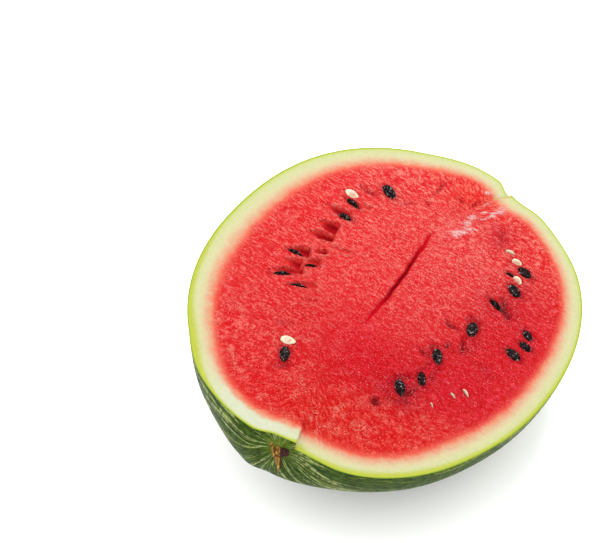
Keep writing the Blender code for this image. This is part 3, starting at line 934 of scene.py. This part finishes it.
def flesh_finish():
    """Cut flesh and rind: skin line, green and cream rind, red flesh with fibres, wet places and pits."""
    look = Finish(
        "melon_flesh",
        IOR=1.34,
        Specular_IOR_Level=0.07,
        Subsurface_Weight=0.05,
        Subsurface_Radius=(1, 0.25, 0.15),
        Subsurface_Scale=0.0015,
    )
    grown = look.attribute("grown", "Vector")
    fibre = look.attribute("fibre", "Vector")
    pit, crease_shade, wet, torn, seed_shade = map(look.attribute, ("pit", "crease_shade", "wet", "torn", "seed_shade"))
    lip, gash_and_shade, rind, lime, flap = map(look.attribute, ("lip", "gash_and_shade", "rind", "lime", "flap"))
    tint = look.attribute("blush", "Color")
    bright = look.attribute("blush_bright", "Color")

    streaks = look.noise(fibre, 1.45, 3, 0.62, 0.5)
    grit = look.noise(grown, 1.05, 2.5, 0.75, 0.8)
    curl = look.noise(grown, 0.17, 1.5, 0.5, 2.2)
    patches = look.noise(grown, 0.075, 3, 0.6)
    inner = look.between(rind, 24, 75)
    weave = streaks * (0.55 - inner * 0.12) + grit * (0.45 + inner * 0.12)
    waver = (look.noise(grown, 0.11, 2, 0.5) - 0.5) * 3.0
    edge = rind + waver * look.between(rind, 3, 9) + (streaks - 0.5) * 4.5 * look.between(rind, 6, 11)

    pale = look.ramp(edge / RIND_DEPTH, RIND_TONES)
    pale = look.mix(flap * look.between(edge, 11.5, 8), pale, tone(222, 227, 196))
    near_skin = look.between(rind / lime, 0.35, 1.35)
    rind_colour = look.mix(near_skin, tone(198, 206, 72), pale)
    rind_colour = look.mix(look.between(rind, 0.2, 0.9), tone(150, 180, 30), rind_colour)
    # Painted shade in the creases that reach the rind, a darker yellow there
    rind_colour = look.mix(crease_shade * 1.4, rind_colour, tone(216, 190, 84))
    in_flesh = look.between(edge, 11, 17.5)

    tint = look.mix(look.between(rind, 30, 13, 0, 0.35), tint, tone(244, 72, 58))
    red = look.mix(look.between(patches, 0.42, 0.66, 0, 0.35), tint, tone(228, 28, 38))
    deep = look.mix(1, red, (0.95, 0.06, 0.28), "MULTIPLY")
    red = look.mix(look.between(weave, 0.505, 0.435, 0, 0.95), red, deep)
    red = look.mix(look.between(weave, 0.512, 0.58), red, bright)
    hair = 1 - look.between(look.maths("ABSOLUTE", curl - 0.5), 0.014, 0.048)
    sparse = look.between(look.noise(grown, 0.12, 2), 0.47, 0.60)
    curled = look.between(look.dot(grown, (0, 1, 0)), -25, -75, 0.06, 0.55)
    red = look.mix(hair * sparse * curled, red, tone(250, 150, 128))
    # Painted highlights: tiny pale glints, a few more of them in the creases
    glint_specks = look.between(look.noise(grown, 1.3, 1, 0.5) + crease_shade * 0.05, 0.66, 0.73)
    soaked = look.mix(1, red, (0.96, 0.22, 0.55), "MULTIPLY")
    red = look.mix(wet * look.between(weave, 0.60, 0.45, 0.68, 0.97), red, soaked)
    red = look.mix(torn * look.between(weave, 0.44, 0.57, 0.22, 1), red, tone(255, 226, 222))
    # Painted highlight, pale pink, on the lips raised beside the sockets
    red = look.mix(lip * look.between(weave, 0.4, 0.6, 0.10, 0.7), red, tone(252, 128, 116))
    # Painted shade in the creases and dark places, darkest where the creases are deepest
    shaded = look.mix(look.between(weave, 0.46, 0.6), tone(182, 0, 28), tone(224, 24, 50))
    shaded = look.mix(look.between(crease_shade, 0.62, 1, 0, 0.8), shaded, tone(120, 0, 12))
    red = look.mix(crease_shade * look.between(weave, 0.36, 0.62, 1, 0.75), red, shaded)
    red = look.mix(glint_specks * 0.6, red, tone(255, 186, 178))
    # Painted shade round the seeds
    red = look.mix(seed_shade * look.between(weave, 0.35, 0.6, 0.70, 0.30), red, tone(140, 0, 18))
    # Sockets: painted light on the shallow walls, going over to painted shade, dark crimson, at the deep ends
    walls = look.mix(look.between(pit, 0.30, 0.95), SOCKET_WALL_LIGHT, tone(212, 4, 28))
    red = look.mix(look.between(pit, 0.10, 0.45, 0, 0.92), red, walls)
    # The crack: saturated red, and painted shade, near black red, where it is deepest
    red = look.mix(look.between(gash_and_shade, 0.12, 0.5), red, tone(238, 4, 30))
    red = look.mix(look.between(gash_and_shade, 0.70, 0.95, 0, 0.85), red, tone(138, 0, 10))
    colour = look.mix(in_flesh, rind_colour, red)
    mottle = look.between(look.noise(grown, 0.5, 3, 0.6), 0.3, 0.7, 0.96, 1.04)
    colour = look.mix(1, colour, mottle, "MULTIPLY")

    height = (weave - 0.5) * 1.8 + (look.noise(grown, 0.4, 2, 0.5) - 0.5) * 0.8
    height = height * in_flesh + look.noise(grown, 0.9, 2) * 0.08
    rough = look.between(grit, 0.35, 0.65, 0.30, 0.55) - wet * 0.24
    return look.dress(Base_Color=colour, Roughness=rough, Normal=look.bump(height, 0.9, 0.001))


def skin_finish():
    """Dark green skin with broken, speckled light stripes from end to end, and pale veins round the scar."""
    look = Finish("melon_skin", IOR=1.46, Specular_IOR_Level=0.05)
    grown = look.attribute("grown", "Vector")
    axis = np.subtract(BLOSSOM_POLE, STEM_POLE)
    across = np.cross(axis, (0, 0, 1))
    up = np.cross(across, axis)
    from_pole = grown - STEM_POLE
    side = look.dot(from_pole, tuple(across / np.linalg.norm(across)))
    rise = look.dot(from_pole, tuple(up / np.linalg.norm(up)))
    scar = look.length(from_pole)
    angle = look.maths("ARCTAN2", rise, side)
    wander = (look.noise(grown, 0.022, 3, 0.6) - 0.5) * 0.4
    stripe = look.maths("SINE", (angle + wander) * STRIPES + STRIPE_PHASE)
    out = (side * side + rise * rise) ** 0.5
    drawn = look.node("CombineXYZ", {}, {0: side / out * 100, 1: rise / out * 100, 2: scar * 0.28})
    wide = (look.noise(grown, 0.03, 2, 0.5) - 0.5) * 1.1
    broken = (look.noise(drawn, 0.12, 3, 0.65) - 0.5) * 2.6
    speck = (look.noise(grown, 0.42, 3, 0.75) - 0.5) * 4.0
    open_out = look.between(scar, 60, 150)
    stripe = stripe * (0.45 + open_out * 0.55) + wide + broken + speck * (0.3 + open_out * 0.7)
    light = look.between(stripe, 0.40, 1)
    lines = look.noise(drawn, 0.30, 4, 0.72, 0.3)
    vein = look.between(lines, 0.53, 0.62) * (1 - open_out * 0.8)
    groove = look.between(lines, 0.46, 0.38) * (1 - open_out * 0.8)
    blotch = look.noise(grown, 0.35, 3, 0.65)
    dark = look.mix(look.between(blotch, 0.3, 0.7), tone(34, 60, 6), tone(76, 106, 22))
    mottled = look.between(look.noise(grown, 0.4, 3, 0.65), 0.35, 0.65)
    pale = look.mix(mottled, tone(116, 144, 30), tone(200, 208, 96))
    colour = look.mix(light * (0.5 + open_out * 0.45), dark, pale)
    calm = look.between(look.noise(grown, 0.035, 1), 0.42, 0.58, 0.35, 1)
    threads = look.maths("ABSOLUTE", look.noise(drawn, 0.055, 2, 0.45, 0.3) - 0.5)
    thread = look.between(threads, 0.045, 0.015) * look.between(blotch, 0.38, 0.55, 0.2)
    thread = thread * look.between(scar, 110, 40)
    colour = look.mix(vein * calm * 0.6, colour, tone(150, 176, 70))
    colour = look.mix(groove * calm * 0.7, colour, tone(22, 42, 4))
    colour = look.mix(thread * 0.75, colour, tone(206, 218, 140))
    collar = look.between(scar + (blotch - 0.5) * 16, 11, 5)
    colour = look.mix(collar * look.between(lines, 0.40, 0.56, 0.1, 0.9), colour, tone(120, 148, 40))
    rough = look.between(look.noise(grown, 0.3, 3), 0.3, 0.7, 0.38, 0.54) + light * 0.06
    height = look.noise(grown, 0.6, 3, 0.6) * 0.5 + vein * 0.9 - groove * 0.9
    return look.dress(Base_Color=colour, Roughness=rough, Normal=look.bump(height, 0.45, 0.0008))


def seed_mesh(name, black):
    """A flat drop: rings round the long axis, narrowed towards the tip, with flat, wrinkled flanks."""
    middle, axes, half = SEEDS[name]
    around, rings = 28, 22
    fall = np.linspace(0, math.pi, rings + 2)[1:-1, None]
    spin = (np.arange(around) * 2 * math.pi / around)[None]
    long = np.cos(fall) + 0 * spin
    narrow = 1 - 0.38 * np.maximum(long, 0) ** 1.5
    waist = np.sin(fall) ** 0.85 * narrow
    flat = np.sign(np.sin(spin)) * np.abs(np.sin(spin)) ** 0.8
    points = np.stack((long, waist * np.cos(spin), waist * flat), -1) * half
    seed_number = sum(map(ord, name))
    wrinkle = grain(points * (0.55 if black else 0.4) + seed_number, 11)
    fine = grain(points * 1.5 + seed_number, 12)
    swell = (0.16 * wrinkle + 0.09 * fine) * (1.0 if black else 0.6)
    bead = 0.18 * bell(np.sin(spin), 0.35) * np.sin(fall)
    outward = points / half
    outward /= np.linalg.norm(outward, axis=-1, keepdims=True)
    points = points + outward * (np.minimum(swell, 0.12) - 0.05)[..., None] * np.sin(fall)[..., None]
    points[..., 1] += bead * np.sign(np.cos(spin)) * 0.4
    ends = np.array(((half[0], 0, 0), (-half[0], 0, 0)))
    local = np.concatenate((points.reshape(-1, 3), ends))
    index = np.arange(rings * around).reshape(rings, around)
    caps = np.concatenate((fan(index[0], len(local) - 2)[:, ::-1], fan(index[-1], len(local) - 1)))
    mesh = bpy.data.meshes.new(name)
    fill_mesh(mesh, leaned((middle + local @ axes) * MM), between_rings(index), caps)
    put(mesh, "seed_place", local / half)
    put(mesh, "grown", middle + local @ axes)
    return mesh


def black_seed_finish():
    """Wet black seed: near black with brown worn patches, and painted glints over a low gloss."""
    look = Finish("seed_black", IOR=1.5, Specular_IOR_Level=0.05)
    grown = look.attribute("grown", "Vector")
    patch = look.noise(grown, 0.5, 3, 0.6)
    colour = look.mix(look.between(patch, 0.45, 0.68), tone(6, 3, 3), tone(62, 30, 28))
    # Painted highlights: pale grey glints on the seed
    painted_glint = look.between(look.noise(grown, 0.75, 2, 0.6, 0.8), 0.60, 0.67)
    colour = look.mix(painted_glint * 0.8, colour, tone(206, 196, 196))
    dimple = look.noise(grown, 0.5, 2, 0.5)
    rough = look.between(dimple, 0.3, 0.7, 0.12, 0.30)
    return look.dress(Base_Color=colour, Roughness=rough, Normal=look.bump(dimple, 1, 0.0022))


def pale_seed_finish():
    """Unripe seed: cream, going orange towards its tip and edge."""
    look = Finish("seed_cream", IOR=1.45, Subsurface_Weight=0.1, Subsurface_Scale=0.001)
    place = look.attribute("seed_place", "Vector")
    grown = look.attribute("grown", "Vector")
    patch = look.noise(grown, 0.35, 3, 0.6)
    from_middle = look.length(place * (1, 1, 0))
    heart = look.between(from_middle + (patch - 0.5) * 2.4, 0.75, 0.35)
    colour = look.mix(heart * look.between(patch, 0.35, 0.6, 0.3, 1), tone(252, 242, 206), tone(226, 120, 84))
    colour = look.mix(look.between(patch, 0.60, 0.70, 0, 0.5), colour, tone(214, 96, 60))
    return look.dress(Base_Color=colour, Roughness=0.35, Normal=look.bump(patch, 0.5, 0.0006))


def stalk_mesh():
    """Torn fibres of the dry stalk: tapered tubes that leave the scar, hug the skin and end loose."""
    chance = np.random.default_rng(21)
    steps, around = 18, 8
    turn = math.radians(4.2)
    side = np.array((math.cos(turn), math.sin(turn), 0.0))
    share = np.linspace(0, 1, steps)
    spin = np.arange(around) * 2 * math.pi / around
    points, quads, caps, old = [], [], [], []
    for begin, end, top, length, radius, age in STRANDS:
        z = (top - length * share) * MM
        on_skin = skin_at(np.full(steps, turn), fall_at(np.full(steps, turn), z))
        down = np.gradient(on_skin, axis=0)
        down /= np.linalg.norm(down, axis=1, keepdims=True)
        out = np.cross(down, side)
        sideways = (begin + (end - begin) * share + 0.3 * np.sin(5 * share + chance.uniform(0, 6))) * MM
        lift = (0.5 + 1.1 * np.sin(math.pi * np.clip(share * 1.2, 0, 1)) * (1 - 0.7 * age)) * MM
        middle = on_skin + side * sideways[:, None] + out * lift[:, None]
        thick = radius * (0.85 * (1 - share**3) ** 0.5 + 0.15) * MM
        ring = np.cos(spin)[None, :, None] * side + np.sin(spin)[None, :, None] * out[:, None] * 0.8
        base = sum(len(p) for p in points)
        points.append((middle[:, None] + ring * thick[:, None, None]).reshape(-1, 3))
        points.append(np.stack((middle[0] - down[0] * thick[0] * 0.4, middle[-1] + down[-1] * thick[-1])))
        old.append(np.full(steps * around + 2, age))
        index = base + np.arange(steps * around).reshape(steps, around)
        quads.append(between_rings(index)[:, (0, 3, 2, 1)])
        caps.append(fan(index[0], base + steps * around))
        caps.append(fan(index[-1], base + steps * around + 1)[:, ::-1])
    local = np.concatenate(points)
    mesh = bpy.data.meshes.new("stalk_stub")
    fill_mesh(mesh, leaned(local), np.concatenate(quads), np.concatenate(caps))
    put(mesh, "grown", local / MM)
    put(mesh, "old", np.concatenate(old))
    return mesh


def stalk_finish():
    """Dry stalk: golden brown fibres with painted shade and highlights along the grain, and maroon where it
    is oldest.
    """
    look = Finish("stalk_dry", IOR=1.4, Specular_IOR_Level=0.2)
    grown = look.attribute("grown", "Vector")
    long_grain = look.noise(grown * (1.0, 1.0, 0.18), 1.3, 3.0, 0.65)
    colour = look.ramp(long_grain, STALK_SHADE_TO_HIGHLIGHT)
    maroon = look.mix(look.between(long_grain, 0.4, 0.6), tone(42, 14, 16), tone(92, 40, 34))
    age = look.attribute("old") + (long_grain - 0.5) * 1.2
    colour = look.mix(look.between(age, 0.4, 0.8), colour, maroon)
    return look.dress(Base_Color=colour, Roughness=0.7, Normal=look.bump(long_grain, 0.8, 0.0008))


def add_room():
    """Pale floor, bright white surroundings, and a square soft box from behind and high up."""
    look = Finish(
        "floor",
        Base_Color=(0.92, 0.92, 0.92),
        Roughness=1.0,
        Specular_IOR_Level=0.0,
        Emission_Color=(1.0, 1.0, 1.0),
        Emission_Strength=0.05,
    )
    mesh = bpy.data.meshes.new("floor")
    corners = FLOOR_REACH * np.array(((-1, -1, 0), (1, -1, 0), (1, 1, 0), (-1, 1, 0)))
    fill_mesh(mesh, corners, np.array(((0, 1, 2, 3),)))
    mesh.materials.append(look.material)
    add_object("floor", mesh)

    world = bpy.data.worlds.new("room")
    world.use_nodes = True
    background = world.node_tree.nodes["Background"].inputs
    background["Color"].default_value = (1.0, 1.0, 1.0, 1.0)
    background["Strength"].default_value = ROOM_LIGHT
    bpy.context.scene.world = world
    bpy.context.scene.view_settings.view_transform = "Standard"

    data = bpy.data.lights.new("key", "AREA")
    azimuth, elevation, distance, data.size, data.energy = KEY_LIGHT
    made = add_object("key", data)
    back = seen_from(azimuth, elevation)
    made.location = back * distance
    made.rotation_euler = back.to_track_quat("Z", "Y").to_euler()


add_camera()
add_piece("melon_half_visual", melon_mesh(), (flesh_finish(), skin_finish()), ["melon_half"])
black, pale = black_seed_finish(), pale_seed_finish()
for node in sorted(SEEDS):
    is_black = not node.startswith("pale")
    look, slot = (black, "black_seed") if is_black else (pale, "pale_seed")
    add_piece(node + "_visual", seed_mesh(node, is_black), [look], [node])
add_piece("stem_stub_visual", stalk_mesh(), [stalk_finish()], ["stem_stub"])
add_room()
